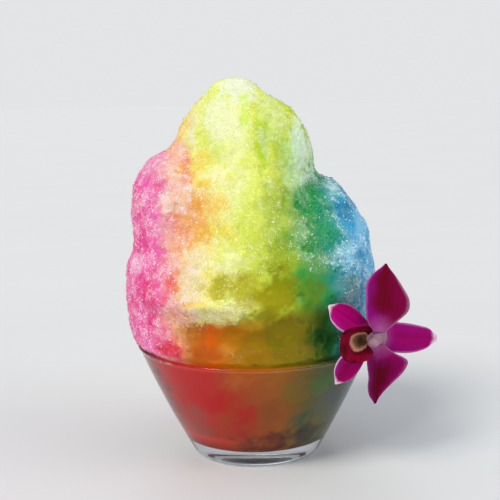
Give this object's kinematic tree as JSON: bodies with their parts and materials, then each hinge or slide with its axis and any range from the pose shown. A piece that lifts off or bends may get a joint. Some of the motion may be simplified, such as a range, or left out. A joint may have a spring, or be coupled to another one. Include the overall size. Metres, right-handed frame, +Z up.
{
  "type": "shaved ice dessert",
  "caption": "Fluffy rainbow shaved ice heaped high over a small clear glass bowl, with soaked syrup ice inside and a magenta orchid flower tucked in at its side",
  "frame": {"origin": "centre of the glass bowl's flat foot, on the surface it stands on", "axes": "+Z up through the heap's peak, -Y towards the front that shows the flower's face, +X to the side that carries the flower"},
  "size_m": [0.147, 0.1168, 0.1831],
  "materials": {
    "bowl_glass": "clear polished pressed glass",
    "syrup_ice": "fluffy crushed ice crystals soaked with pink, orange, yellow, green and blue syrup",
    "petal": "satin flower petal, magenta with darker crimson fields and thin white rims",
    "lip": "velvety crimson flower lip with a cream throat",
    "column": "waxy pale pink flower column",
    "stem": "smooth green flower stalk"
  },
  "bodies": {
    "root": {"glass_bowl": "bowl_glass", "shaved_ice": "syrup_ice", "orchid_top_sepal": "petal", "orchid_upper_petal": "petal", "orchid_lower_petal": "petal", "orchid_upper_sepal": "petal", "orchid_lower_sepal": "petal", "orchid_lip": "lip", "orchid_column": "column", "orchid_stem": "stem"}
  },
  "joints": []
}
